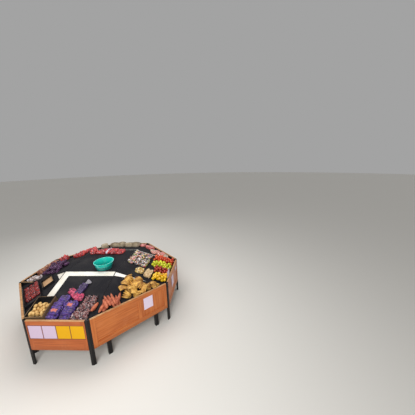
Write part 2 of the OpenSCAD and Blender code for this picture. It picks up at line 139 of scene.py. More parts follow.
def stretched(tree, vector, scale, turn=0.0):
    """Coordinates turned about Z and then stretched"""
    turned = node(tree, "Mapping", {"Vector": vector, "Rotation": (0, 0, turn)}).outputs[0]
    return node(tree, "Mapping", {"Vector": turned, "Scale": scale}).outputs[0]


def effect(name, inputs, outputs):
    """An empty node group with its named sockets"""
    tree = bpy.data.node_groups.new(name, "ShaderNodeTree")
    for way, sockets in (("INPUT", inputs), ("OUTPUT", outputs)):
        for label, kind in sockets.items():
            tree.interface.new_socket(label, in_out=way, socket_type="NodeSocket" + kind)
    return tree, tree.nodes.new("NodeGroupInput").outputs, tree.nodes.new("NodeGroupOutput").inputs


def use(tree, group, **inputs):
    """The outputs of a node group placed in a material"""
    return node(tree, "Group", inputs, node_tree=group).outputs


def finish_of(name, roughness, **plain):
    """A new material: its tree, its shader and its object coordinates"""
    made = bpy.data.materials.new(name)
    made.use_nodes = True
    tree = made.node_tree
    shader = tree.nodes["Principled BSDF"]
    shader.inputs["Roughness"].default_value = roughness
    for socket, value in plain.items():
        shader.inputs[socket.replace("_", " ")].default_value = value
    return made, tree, shader, node(tree, "TexCoord").outputs["Object"]


def coat(tree, shader, colour, height, depth, roughness=None):
    """Colour, relief and roughness led into the shader"""
    tree.links.new(colour, shader.inputs["Base Color"])
    bump = node(tree, "Bump", {"Height": height, "Distance": depth, "Strength": 0.8})
    tree.links.new(bump.outputs[0], shader.inputs["Normal"])
    if roughness is not None:
        tree.links.new(roughness, shader.inputs["Roughness"])


# Wood grain that runs along X, on laminate, edge strips and crate boards
wood_grain, g_in, g_out = effect(
    "wood grain", {"Vector": "Vector", "Light": "Color", "Dark": "Color"},
    {"Colour": "Color", "Height": "Float"})
tree = wood_grain
streaks = mottle(tree, stretched(tree, g_in["Vector"], (1.6, 34, 34)), 1, 5, 0.6)
pores = mottle(tree, stretched(tree, g_in["Vector"], (14, 420, 420)), 1)
clouds = mottle(tree, g_in["Vector"], 3)
figure = plus(tree, times(tree, streaks, 0.75), times(tree, clouds, 0.25))
grained = blend(tree, soft_step(tree, figure, 0.36, 0.64), g_in["Dark"], g_in["Light"])
pored = times(tree, soft_step(tree, pores, 0.6, 0.72), 0.35)
tree.links.new(blend(tree, pored, grained, g_in["Dark"]), g_out["Colour"])
tree.links.new(maths(tree, "SUBTRACT", figure, times(tree, pores, 0.3)), g_out["Height"])

# Scuffs and handling marks, up to Amount where a surface is rubbed
scuffs, g_in, g_out = effect("scuffs", {"Vector": "Vector", "Amount": "Float"}, {"Mask": "Float"})
tree = scuffs
patches = mottle(tree, g_in["Vector"], 5, 3)
marks = mottle(tree, stretched(tree, g_in["Vector"], (30, 30, 140)), 1, 6)
rubbed = times(tree, soft_step(tree, patches, 0.45, 0.7), soft_step(tree, marks, 0.5, 0.66))
tree.links.new(times(tree, rubbed, g_in["Amount"]), g_out["Mask"])


def scuffed(tree, place, amount):
    return use(tree, scuffs, Vector=place, Amount=amount)["Mask"]


def wooden(tree, place, light, dark):
    return use(tree, wood_grain, Vector=place, Light=rgb(*light), Dark=rgb(*dark))


def dress(slot, material, *names):
    """Gives nodes of the frame their finish"""
    for name in names:
        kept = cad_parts[name]
        kept.data.materials.clear()
        kept.data.materials.append(material)


def laminate(side, half_length, upright_field):
    """Grained laminate with rails, stiles and field; painted shade makes the front side darker and
    redder
    """
    # The front side's tones are darker and redder than the other sides': painted shade on one
    # laminate.
    shades = ((198, 107, 52), (176, 88, 38)) if side == 0 else ((206, 120, 60), (184, 97, 44))
    made, tree, shader, place = finish_of(f"laminate_{side}", 0.42, Specular_IOR_Level=0.3)
    facing = node(tree, "Mapping", {"Vector": place, "Rotation": (0, 0, math.radians(-45 * side))})
    along, _, height = xyz(tree, facing.outputs[0])
    level = node(tree, "CombineXYZ", {"X": along, "Y": height, "Z": 0.7 * side}).outputs[0]
    upright = node(tree, "CombineXYZ", {"X": height, "Y": along, "Z": 3.1 + side}).outputs[0]
    from_middle = maths(tree, "ABSOLUTE", along)
    stiles = maths(tree, "COMPARE", from_middle, half_length - stile_w / 2, stile_w / 2)
    if upright_field:
        mid_stile = 2 * half_length * (mid_stile_at - 0.5)
        beyond = above(tree, along, mid_stile - stile_w / 2)
        between_rails = maths(tree, "COMPARE", height, (board_top + board_bottom) / 2,
                              (board_top - board_bottom) / 2 - rail_h)
        stiles = maths(tree, "MAXIMUM", stiles, times(tree, beyond, between_rails))
    level_wood, upright_wood = [wooden(tree, way, *shades) for way in (level, upright)]
    wood = blend(tree, stiles, level_wood["Colour"], upright_wood["Colour"])
    joint = maths(tree, "COMPARE", from_middle, half_length - stile_w, 0.0008)
    wood = over(tree, wood, joint, (70, 38, 22), 0.7)
    # The laminate is painted darker towards its bottom edge.
    darker_low = soft_step(tree, height, board_bottom + 0.12, board_bottom)
    wood = over(tree, wood, darker_low, (120, 66, 38), 0.3)
    worn = scuffed(tree, place, 0.2)
    coat(tree, shader, over(tree, wood, worn, (226, 178, 134)),
         maths(tree, "SUBTRACT", level_wood["Height"], joint), 0.0006,
         plus(tree, 0.36, times(tree, worn, 0.5)))
    return made


side_names = ("front", "front_right", "right", "back_right", "back", "back_left", "left",
              "front_left")
side_lengths = [cell, cell * math.sqrt(2)] * 4
for side, side_name in enumerate(side_names):
    half = side_lengths[side] / 2 - post_face
    dress("wood_laminate", laminate(side, half, side % 2 == 1), side_name + "_panel")

# End board: a short wooden divider that stands across the slope at the left corner. Its faces
# are painted black, and its top edge is left as pale wood.
made, tree, shader, place = finish_of("end_board", 0.6)
bare_edge = above(tree, xyz(tree, place)[2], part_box("end_board")[1].z - 0.004)
wood = wooden(tree, place, (214, 176, 128), (176, 134, 92))
coat(tree, shader, blend(tree, bare_edge, rgb(30, 26, 26), wood["Colour"]), wood["Height"], 0.0004)
dress("wood_laminate", made, "end_board")

# Panel caps: thin strips of pale wood glued on the panels' top edges, mitred at the corners and
# worn lighter by hands.
made, tree, shader, place = finish_of("pale_edge", 0.5)
wood = wooden(tree, place, (206, 158, 106), (168, 116, 72))
worn = scuffed(tree, place, 0.6)
coat(tree, shader, over(tree, wood["Colour"], worn, (222, 186, 140)), wood["Height"], 0.0005)
dress("pale_edge", made, "panel_caps")

# Corner posts, legs and middle frame: folded and square steel tube with black powder coat,
# scuffed grey near the floor by shoes.
made, tree, shader, place = finish_of("black_steel", 0.4, Specular_IOR_Level=0.3)
skin = mottle(tree, place, 900, 1)
worn = scuffed(tree, place, 0.7)
near_floor = plus(tree, 0.25, soft_step(tree, xyz(tree, place)[2], 0.35, 0.0))
steel = blend(tree, times(tree, worn, near_floor), rgb(12, 9, 11), rgb(80, 74, 70))
coat(tree, shader, steel, skin, 0.0002, plus(tree, 0.36, worn))
dress("black_steel", made, "corner_posts", "corner_module_legs", "center_frame")

# Lip liners and ledgers: board screwed to the inside of the panels, and the battens that carry the
# sloped decks, both dull and dusty and coloured black. On the liners the black is painted shade
# for the panels' shaded inner faces.
made, tree, shader, place = finish_of("black_board", 0.75)
fibres = mottle(tree, stretched(tree, place, (60, 60, 300)), 1, 4)
dust = scuffed(tree, place, 0.5)
board = blend(tree, fibres, rgb(14, 13, 16), rgb(34, 32, 33))
coat(tree, shader, over(tree, board, dust, (70, 66, 62)), fibres, 0.0004)
dress("black_board", made, "lip_liners", "deck_ledgers")

# Decks: white melamine boards, a little yellowed, with stains and scratches where the mats
# leave them bare, and with black edging where two sloped boards meet.
edging_w = 0.011
made, tree, shader, place = finish_of("white_board", 0.35)
yellowed = mottle(tree, place, 4, 4)
stains = mottle(tree, place, 26, 5)
board = blend(tree, soft_step(tree, yellowed, 0.4, 0.7), rgb(243, 239, 230), rgb(228, 220, 204))
board = over(tree, board, soft_step(tree, stains, 0.6, 0.75), (196, 182, 160), 0.35)
scratched = scuffed(tree, place, 0.5)
out_x, out_y = [maths(tree, "ABSOLUTE", xyz(tree, place)[axis]) for axis in (0, 1)]
side_joint, ridge_joint = [maths(tree, "COMPARE", out, cell / 2, edging_w)
                           for out in (out_x, out_y)]
ridge_joint = times(tree, ridge_joint, above(tree, out_x, cell / 2 - 0.004))
board = over(tree, board, scratched, (206, 200, 190))
coat(tree, shader, over(tree, board, maths(tree, "MAXIMUM", side_joint, ridge_joint),
                        (34, 32, 34)), stains, 0.0002, plus(tree, 0.3, scratched))
dress("white_board", made, "center_deck", *[side_name + "_deck" for side_name in side_names])

# Mats: dark grey non-slip matting of foamed strands in an open grid, cut to the decks and laid
# on them loose, with a few pale crumbs on it.
strand = 0.006
made, tree, shader, place = finish_of("dark_mat", 0.9, Specular_IOR_Level=0.15)
ribs = [node(tree, "TexWave", {"Vector": place, "Scale": 2 / (math.tau * strand),
                               "Distortion": 0.4, "Detail": 1, "Detail Scale": 3},
             bands_direction=direction).outputs[1] for direction in ("X", "Y")]
grid = maths(tree, "MAXIMUM", *ribs)
worn = soft_step(tree, mottle(tree, place, 3.2, 5), 0.45, 0.75)
crumbs = node(tree, "TexVoronoi", {"Vector": place, "Scale": 42}, feature="F1").outputs[0]
rubber = blend(tree, grid, rgb(22, 21, 24), rgb(42, 41, 45))
rubber = over(tree, rubber, worn, (66, 63, 62), 0.4)
rubber = over(tree, rubber, soft_step(tree, crumbs, 0.09, 0.05), (136, 122, 104), 0.5)
coat(tree, shader, rubber, grid, 0.0015)
dress("dark_mat", made, "center_mat", "slope_mats")

# Potato crate: a pale, rough board crate, set a little askew, its inner faces painted near black as
# painted shade. Golden potatoes fill its lower end. Everything that lies on a deck gets its place
# from here on.
deck_low, mat_lift = board_top - 0.12, 0.0046
crate_w, crate_l, crate_h, crate_t, crate_turn = 0.345, 0.44, 0.12, 0.009, 4
crate_past_edge = 0.026
crate_spot = (2 * (crate_w / 2 - crate_past_edge - cell / 2) / cell, 0.25)


def shifted(*place):
    return Matrix.Translation(place)


def turned(degrees):
    return Matrix.Rotation(math.radians(degrees), 4, "Z")


def on_mat(side, across, up, lift=0.0, turn=0.0):
    """A place on a side's mat, at shares of its half width and depth, Z square to the mat"""
    depth = side_lengths[side] / 2 if side % 2 else cell
    reach = cell * (math.sqrt(2) if side % 2 else 1.5)
    pitch = math.atan((ridge_top - deck_low) / depth)
    spot = (across * side_lengths[side] / 2, up * depth - reach,
            deck_low + up * (ridge_top - deck_low))
    return (turned(45 * side) @ shifted(*spot) @ Matrix.Rotation(pitch, 4, "X")
            @ shifted(0, 0, mat_lift + lift) @ turned(turn))


def plan(side, shares):
    """Corners of a heap in metres across and up a side's mat, from shares"""
    depth = side_lengths[side] / 2 if side % 2 else cell
    slope = math.hypot(depth, ridge_top - deck_low)
    return [(x * side_lengths[side] / 2, y * slope) for x, y in shares]


def square(low_x, high_x, low_y, high_y):
    return [(low_x, low_y), (high_x, low_y), (high_x, high_y), (low_x, high_y)]


def new_shell():
    """A mesh whose vertices keep their place on the item, its tint, and how far they stand out"""
    shell = bmesh.new()
    shell.verts.layers.float_vector.new("place")
    shell.verts.layers.float.new("tint")
    shell.verts.layers.float.new("stand")
    return shell


def kept_on(shell):
    layers = shell.verts.layers
    return layers.float_vector["place"], layers.float["tint"], layers.float["stand"]


def faces_on(verts):
    return {face for vert in verts for face in vert.link_faces}


def globe(shell, segments, rings):
    made = bmesh.ops.create_uvsphere(shell, u_segments=segments, v_segments=rings, radius=1)
    return made["verts"]


def ball(shell, size, form=None, segments=16, rings=10):
    """A closed ball of a size, its surface moved by a function of the direction"""
    made = globe(shell, segments, rings)
    _, _, stand = kept_on(shell)
    for vert in made:
        way = vert.co.normalized()
        moved = form(way) if form else way
        vert.co = [moved[i] * size[i] / 2 for i in range(3)]
        vert[stand] = min(1, moved.length)
    return made


def piled(corners, height, kinds, seed, turns=(0, 360), steep=2):
    """Items dropped one by one into the lowest hollow of a heap inside a plan outline.

    A kind is the radius of its balls and their spots along the item's own X. The heap rises
    from the outline as steeply as steep says, up to its height.
    """
    luck = random.Random(seed)
    tries, patience, nestled, slack = 24, 40, 0.88, 0.002
    walls = []
    for a, b in zip(corners, corners[1:] + corners[:1]):
        run = (Vector(b) - Vector(a)).normalized()
        walls.append((Vector(a), Vector((-run.y, run.x))))
    low = [min(c[axis] for c in corners) for axis in (0, 1)]
    high = [max(c[axis] for c in corners) for axis in (0, 1)]
    balls, found, misses = [], [], 0
    while misses < patience:
        best = None
        for _ in range(tries):
            kind = luck.randrange(len(kinds))
            radius, spots = kinds[kind]
            middle = Vector([luck.uniform(low[axis], high[axis]) for axis in (0, 1)])
            turn = math.radians(luck.uniform(*turns))
            own = [middle + Vector((math.cos(turn), math.sin(turn))) * s for s in spots]
            edge = min((p - a).dot(inward) for p in own for a, inward in walls)
            top = min(height, 2 * radius + steep * (edge - radius)) + slack
            if top < 2 * radius:
                continue
            rest = radius
            for p in own:
                for x, y, z, r in balls:
                    room = (nestled * (radius + r)) ** 2 - (p.x - x) ** 2 - (p.y - y) ** 2
                    if room > 0:
                        rest = max(rest, z + math.sqrt(room))
            if rest + radius <= top and (best is None or rest < best[0]):
                best = (rest, middle, turn, kind, own, radius)
        if best is None:
            misses += 1
            continue
        rest, middle, turn, kind, own, radius = best
        balls += [(p.x, p.y, rest, radius) for p in own]
        found.append((kind, shifted(middle.x, middle.y, rest) @ Matrix.Rotation(turn, 4, "Z")))
    return found


def strew(shell, items, found, base, seed, roll):
    """Copies of items at the found places, each rolled by chance and with a tint of its own"""
    luck = random.Random(seed)
    place, tint, _ = kept_on(shell)
    parts = []
    for item in items:
        for vert in item:
            vert[place] = vert.co
        edges = {edge for vert in item for edge in vert.link_edges}
        parts.append(list(item) + list(edges) + list(faces_on(item)))
    for kind, spot in found:
        copy = bmesh.ops.duplicate(shell, geom=parts[kind])["geom"]
        verts = [part for part in copy if isinstance(part, bmesh.types.BMVert)]
        tumble = (Matrix.Rotation(luck.uniform(-roll, roll), 4, "X")
                  @ Matrix.Rotation(luck.uniform(-roll, roll), 4, "Y"))
        bmesh.ops.transform(shell, matrix=base @ spot @ tumble, verts=verts)
        own = luck.random()
        for vert in verts:
            vert[tint] = own
    bmesh.ops.delete(shell, geom=[vert for item in items for vert in item], context="VERTS")


def piece(name, shell, slot, materials, *nodes):
    """A finished mesh as a piece of the island, shown in place of CAD nodes"""
    for face in shell.faces:
        face.smooth = True
    bmesh.ops.recalc_face_normals(shell, faces=shell.faces)
    data = bpy.data.meshes.new(name)
    shell.to_mesh(data)
    shell.free()
    for material in materials:
        data.materials.append(material)
    made = placed(name, data)
    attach(made, "root")
    if nodes:
        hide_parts(*nodes)


def remembered(tree):
    """What the mesh keeps: place on the item, tint, and how far the surface stands out"""
    place, tint, stand = [node(tree, "Attribute", attribute_name=name).outputs
                          for name in ("place", "tint", "stand")]
    return place["Vector"], tint["Fac"], stand["Fac"]


def produce(name, dark, light, roughness, spots=None, spot_scale=150, spot_size=0.3, clouds=22,
            relief=0.0006, **plain):
    """A fruit or root's skin: clouded, spotted, tinted per piece; painted shade in hollows, dark
    tips
    """
    made, tree, shader, _ = finish_of(name, roughness, **plain)
    place, tint, stand = remembered(tree)
    shift = node(tree, "CombineXYZ", {"X": tint, "Y": times(tree, tint, 3.7)}).outputs[0]
    moved = node(tree, "VectorMath", {0: place, 1: shift}).outputs[0]
    cloud = soft_step(tree, mottle(tree, moved, clouds, 4), 0.3, 0.7)
    lit = plus(tree, times(tree, cloud, 0.6), times(tree, tint, 0.4))
    colour = blend(tree, lit, rgb(*dark), rgb(*light))
    if spots:
        fleck = node(tree, "TexVoronoi", {"Vector": moved, "Scale": spot_scale}).outputs[0]
        fleck = soft_step(tree, fleck, spot_size, spot_size * 0.5)
        colour = over(tree, colour, fleck, spots, 0.7)
    # Painted shade where the surface sinks in; the same dark gives bananas their real dark tips and
    # crowns.
    hollow_shade_and_tips = tuple(v * 0.25 for v in rgb(*dark)[:3]) + (1,)
    colour = blend(tree, soft_step(tree, stand, 0.95, 0.55), colour, hollow_shade_and_tips)
    coat(tree, shader, colour, mottle(tree, moved, spot_scale), relief)
    return made


made, tree, shader, place = finish_of("crate_board", 0.75)
crate_place = on_mat(0, *crate_spot, turn=crate_turn)
local = node(tree, "Mapping", {"Vector": place, "Location": crate_place.translation,
                               "Rotation": crate_place.to_euler()}, vector_type="TEXTURE")
split = xyz(tree, local.outputs[0])
around = node(tree, "CombineXYZ", {"X": plus(tree, split[0], split[1]), "Y": split[2], "Z": 5.5})
wood = wooden(tree, around.outputs[0], (152, 122, 88), (94, 70, 48))
gap = maths(tree, "COMPARE", split[2], crate_h / 2, 0.0025)
# Painted shade: the crate's inner faces are coloured near black.
inside_shade = above(tree, split[2], crate_t - 0.0015)
for axis, size in ((0, crate_w), (1, crate_l)):
    inside_shade = times(tree, inside_shade, maths(
        tree, "LESS_THAN", maths(tree, "ABSOLUTE", split[axis]), size / 2 - crate_t + 0.0015))
boards = over(tree, wood["Colour"], gap, (40, 30, 24))
coat(tree, shader, over(tree, boards, inside_shade, (24, 22, 24)), wood["Height"], 0.001)
dress("crate_board", made, "potato_crate")

shell = new_shell()
lumps = []
for number, size in enumerate(((0.078, 0.058, 0.052), (0.068, 0.054, 0.05), (0.086, 0.06, 0.054))):
    lumps.append(ball(shell, size, lambda way, n=number: way * (
        1 + 0.16 * noise.noise(way * 1.3 + Vector((n * 3.1, 0, 0)))
        - 0.08 * max(0, noise.noise(way * 3.5 + Vector((0, n * 5.3, 0)))))))
found = piled(square(-0.163, 0.163, -0.211, 0.125), 0.13,
              [(0.027, (-0.012, 0.012)), (0.026, (-0.007, 0.007)), (0.028, (-0.016, 0.016))], 4,
              steep=2.6)
strew(shell, lumps, found, on_mat(0, *crate_spot, lift=crate_t, turn=crate_turn), 4, 0.5)
potato_skin = produce("potato_skin", (196, 148, 78), (244, 206, 136), 0.6, spots=(120, 84, 50),
                      spot_scale=90, spot_size=0.14)
piece("potatoes_in_crate", shell, "potato_skin", [potato_skin], "potatoes")

# Sweet potatoes: long red-brown roots that taper to both ends, thrown in a low heap at the front
# right slope's left end. One more lies across the seam, on the front mat.
shell = new_shell()
roots = []
for number, (length, thick) in enumerate(((0.25, 0.066), (0.21, 0.074), (0.29, 0.062))):
    roots.append(ball(shell, (length, thick, thick), lambda way, n=number: Vector((
        way.x, way.y * (1 - 0.25 * way.x) + 0.5 * (way.x ** 2 - 0.3) * (0.5 - 0.4 * n),
        way.z * (1 - 0.2 * way.x))) * (1 + 0.1 * noise.noise(way * 2 + Vector((n * 4, 0, 0)))),
        22, 12))
outline = plan(1, [(-0.84, 0.12), (-0.80, 0.09), (-0.26, 0.09), (-0.15, 0.22), (-0.15, 0.30),
                   (-0.32, 0.44), (-0.52, 0.44), (-0.84, 0.14)])
found = piled(outline, 0.15, [(0.029, (-0.07, 0, 0.07)), (0.033, (-0.05, 0, 0.05)),
                              (0.028, (-0.09, -0.03, 0.03, 0.09))], 12, (28, 112), 4)
across_seam = on_mat(1, 0, 0).inverted() @ on_mat(0, 0.945, 0.29, lift=0.036, turn=80)
found.append((1, across_seam))
strew(shell, roots, found, on_mat(1, 0, 0), 5, 0.15)
sweet_skin = produce("sweet_potato_skin", (140, 58, 36), (224, 130, 92), 0.65, spots=(84, 34, 24),
                     spot_scale=70, spot_size=0.16, relief=0.0012)
piece("sweet_potato_heap", shell, "sweet_potato_skin", [sweet_skin], "sweet_potatoes")


# Bananas: ripe hands of four or five fingers joined at a brown crown, piled over one another
# along the rest of the front right slope.
def banana_hand(shell, fingers, long):
    """Fingers side by side on one arc, thin at the stem, closing in to the crown"""
    made, bend = [], 0.9
    arc = long / (2 * bend)
    _, _, stand = kept_on(shell)
    for number in range(fingers):
        spread = number - (fingers - 1) / 2
        finger = globe(shell, 7, 14)
        for vert in finger:
            along = max(-1, min(1, vert.co.z))
            ring = math.sqrt(max(0.0001, 1 - along ** 2))
            thick = 0.0195 * (1 - abs(along) ** 5) ** 0.5 / ring
            thick *= min(1, 0.45 + 0.9 * (1 - along))
            out, side = vert.co.x * thick, vert.co.y * thick
            turn = along * bend * (1 + 0.04 * spread)
            vert.co = ((arc + out) * math.sin(turn), side + spread * (0.034 - 0.013 * along),
                       (arc + out) * math.cos(turn) - arc)
            vert[stand] = 0.62 if abs(along) > 0.96 else 1
        made += finger
    crown = ball(shell, (0.03, 0.02 * fingers + 0.012, 0.026), None, 8, 6)
    for vert in crown:
        vert.co += Vector((arc * math.sin(bend) + 0.004, 0, arc * math.cos(bend) - arc))
        vert[stand] = 0.7
    made += crown
    for vert in made:
        vert.co.z += 0.021
    return made


shell = new_shell()
hands = [banana_hand(shell, *hand) for hand in ((5, 0.20), (4, 0.19), (5, 0.22))]
outline = plan(1, [(-0.24, 0.42), (-0.08, 0.20), (0.14, 0.09), (0.86, 0.07), (0.86, 0.13),
                   (0.29, 0.66), (0.12, 0.72), (-0.10, 0.60)])
found = piled(outline, 0.18, [(0.043, (-0.05, 0, 0.05)), (0.041, (-0.045, 0, 0.045)),
                              (0.045, (-0.055, 0, 0.055))], 21)
strew(shell, hands, found, on_mat(1, 0, 0), 8, 0.6)
banana_skin = produce("banana_skin", (136, 72, 20), (254, 204, 102), 0.5, spots=(90, 46, 14),
                      spot_scale=60, spot_size=0.2, clouds=16)
piece("banana_heap", shell, "banana_skin", [banana_skin], "bananas")


# Loose fruit on the right slope, heaped against the panel: yellow peppers with green stalks,
# dark red plums, yellow-green pears and red apples.
def hollowed(way, top, foot, wide):
    """A direction drawn in at the top and at the foot"""
    fall = math.exp(-(math.hypot(way.x, way.y) / wide) ** 2)
    return way.z - (top if way.z > 0 else -foot) * fall


def lobed(way):
    wide = 1 + 0.07 * math.hypot(way.x, way.y) * math.cos(4 * math.atan2(way.y, way.x))
    return Vector((way.x * wide, way.y * wide, hollowed(way, 0.45, 0.22, 0.4)))


def dimpled(way):
    waist = 1 + 0.05 * way.z
    return Vector((way.x * waist, way.y * waist, hollowed(way, 0.42, 0.25, 0.3)))


def creased(way):
    return way * (1 - 0.1 * math.exp(-(way.x / 0.16) ** 2) * max(0, way.y))


def pear_form(way):
    slim = 1 - 0.42 * max(0, way.z) ** 0.8 if way.z > 0 else 1
    return Vector((way.x * slim, way.y * slim, way.z * (1.18 if way.z > 0 else 0.92)))


stem_brown = finish_of("stem_brown", 0.8, Base_Color=rgb(92, 66, 40))[0]
stem_green = finish_of("stem_green", 0.6, Base_Color=rgb(96, 120, 50))[0]
stem_reach = 0.016
fruit = (
    ("pepper", (0.074, 0.074, 0.088), lobed, 0.037, (-0.90, -0.385, 0.06, 0.36), 0.006, 0.005,
     stem_green, ((230, 160, 10), (255, 218, 34), 0.25), {"relief": 0.0002, "Coat_Weight": 0.4}),
    ("plum", (0.068, 0.068, 0.064), creased, 0.0335, (-0.365, -0.005, 0.06, 0.42), 0.003, 0.0025,
     stem_brown, ((120, 18, 14), (206, 70, 42), 0.3), {"relief": 0.0002, "Coat_Weight": 0.3}),
    ("pear", (0.07, 0.07, 0.086), pear_form, 0.036, (0.005, 0.445, 0.06, 0.50), 0.011, 0.003,
     stem_brown, ((172, 176, 18), (240, 240, 64), 0.4, (120, 110, 30), 190, 0.16), {}),
    ("apple", (0.076, 0.076, 0.07), dimpled, 0.0365, (0.455, 0.95, 0.06, 0.52), 0.012, 0.0025,
     stem_brown, ((176, 28, 12), (242, 102, 40), 0.3, (244, 200, 130), 230, 0.12, 30),
     {"Coat_Weight": 0.3}))
for number, sort in enumerate(fruit):
    kind, size, form, radius, shares, sunk, stem_r, stem_skin, skin, look = sort
    shell = new_shell()
    item = ball(shell, size, form, 16, 11)
    top = max(vert.co.z for vert in item) - sunk
    root, tip = Vector((0, 0, top - 0.006)), Vector((0.004, 0.002, top + stem_reach))
    stem = bmesh.ops.create_cone(shell, cap_ends=True, segments=7, radius1=stem_r,
                                 radius2=stem_r * 0.7, depth=(tip - root).length)["verts"]
    bmesh.ops.transform(shell, verts=stem, matrix=Matrix.Translation((root + tip) / 2)
                        @ (tip - root).to_track_quat("Z", "Y").to_matrix().to_4x4())
    for face in faces_on(stem):
        face.material_index = 1
    for vert in stem:
        vert[kept_on(shell)[2]] = 1
    found = piled(plan(2, square(*shares)), 0.15, [(radius, (0,))], 30 + number, steep=3)
    strew(shell, [item + stem], found, on_mat(2, 0, 0), 40 + number, 1.3)
    finish = produce(kind + "_skin", *skin, **look)
    piece(kind + "_heap", shell, kind + "_skin", [finish, stem_skin], kind + "s")

# Grapes: bunches of dark grapes with a pale bloom, round berries set on a stalk that narrows to
# its tip, heaped on the left slope.
berries, berry_size = 36, (0.027, 0.027, 0.030)
shell = new_shell()
bunches = []
for long, wide in ((0.17, 0.045), (0.15, 0.05)):
    bunch = []
    for berry in range(berries):
        along, turn = berry / berries, berry * 2.4
        out = wide * (1 - 0.6 * along) * (0.75 + 0.25 * math.sin(berry * 1.7))
        grape = ball(shell, berry_size, None, 8, 6)
        for vert in grape:
            vert.co += Vector((long * (along - 0.5), out * math.cos(turn),
                               0.85 * out * math.sin(turn)))
        bunch += grape
    bunches.append(bunch)
outline = plan(6, [(-0.30, 0.40), (-0.22, 0.27), (0.48, 0.27), (0.92, 0.62), (0.90, 0.74),
                   (0.80, 0.80), (-0.05, 0.78), (-0.28, 0.62)])
found = piled(outline, 0.15, [(0.042, (-0.045, 0, 0.04)), (0.045, (-0.035, 0, 0.035))], 52)
strew(shell, bunches, found, on_mat(6, 0, 0), 9, 0.6)
grape_skin = produce("grape_skin", (38, 14, 42), (112, 64, 112), 0.35, clouds=34, relief=0.0001,
                     Coat_Weight=0.3)
piece("grape_bunches", shell, "grape_skin", [grape_skin], "grapes")


# Bags on the front slope: blue net bags with an orange label, stacked in two columns; a magenta
# and a purple net bag above them, gathered at the top; and clear bags of small dark fruit. The
# film and nets lie over the goods inside, sag to the mat and crease between the lumps.
def bag(shell, spot, size, seed, fill, square_by=0.6, part=0, detail=(44, 26)):
    """A filled bag lying at a spot: a soft pillow, flat below, drawn over lumps and creased.

    The fill is the size of the lumps, how far the skin sinks between them, and its creases.
    """
    lump, sink, crease = fill
    place, tint, stand = kept_on(shell)
    made = globe(shell, *detail)
    shift = Vector((seed * 1.7, seed * 2.3, seed * 0.9))
    for vert in made:
        soft = [math.copysign(abs(v) ** square_by, v) for v in vert.co.normalized()]
        point = Vector((soft[0] * size[0] / 2, soft[1] * size[1] / 2, (soft[2] + 1) / 2 * size[2]))
        gaps, hearts = noise.voronoi(point / lump + shift)
        full = max(0, 1 - (gaps[0] / 0.7) ** 2)
        folds = abs(noise.noise(point / (0.7 * lump) + shift))
        slack = 1 - sink * (1 - full) - crease * folds
        sides = 0.75 + 0.25 * slack
        vert.co = (point.x * sides, point.y * sides,
                   max(0, (point.z / size[2] - 0.12) / 0.88) * size[2] * slack)
        vert[place], vert[stand] = vert.co, full
        vert[tint] = (12.99 * hearts[0].x + 78.23 * hearts[0].y + 37.7 * hearts[0].z) % 1
    for face in faces_on(made):
        face.material_index = part
    bmesh.ops.transform(shell, matrix=spot, verts=made)
    return made


def patch(side, low_x, high_x, low_y, high_y):
    """Middle in shares, and size in metres, of a square patch of a side's mat"""
    near, far = plan(side, [(low_x, low_y), (high_x, high_y)])
    return ((low_x + high_x) / 2, (low_y + high_y) / 2), (far[0] - near[0], far[1] - near[1])


def laid(shell, side, shares, high, seed, fill, turn=0, grown=(1, 1), **shape):
    """A bag that fills a patch of a side's mat, or more where it has grown"""
    middle, size = patch(side, *shares)
    bag(shell, on_mat(side, *middle, turn=turn), (size[0] * grown[0], size[1] * grown[1], high),
        seed, fill, **shape)


# Strands of a knitted net crossing at a slant, 1 on a strand
net_strands, g_in, g_out = effect("net strands", {"Vector": "Vector", "Size": "Float"},
                                  {"Mask": "Float"})
tree = net_strands
split = xyz(tree, g_in["Vector"])
strand_masks = []
for sign in ("ADD", "SUBTRACT"):
    slant = maths(tree, sign, plus(tree, split[0], split[2]), split[1])
    wave = maths(tree, "PINGPONG", maths(tree, "DIVIDE", slant, g_in["Size"]), 1)
    strand_masks.append(soft_step(tree, wave, 0.35, 0.15))
tree.links.new(maths(tree, "MAXIMUM", *strand_masks), g_out["Mask"])

# Painted highlights: bright streaks of glint where clear film is drawn over what it holds
film_glints, g_in, g_out = effect("film glints", {"Vector": "Vector"}, {"Mask": "Float"})
tree = film_glints
bent = mottle(tree, stretched(tree, g_in["Vector"], (26, 60, 40), 0.5), 1, 3, 1.2)
tree.links.new(soft_step(tree, bent, 0.58, 0.66), g_out["Mask"])


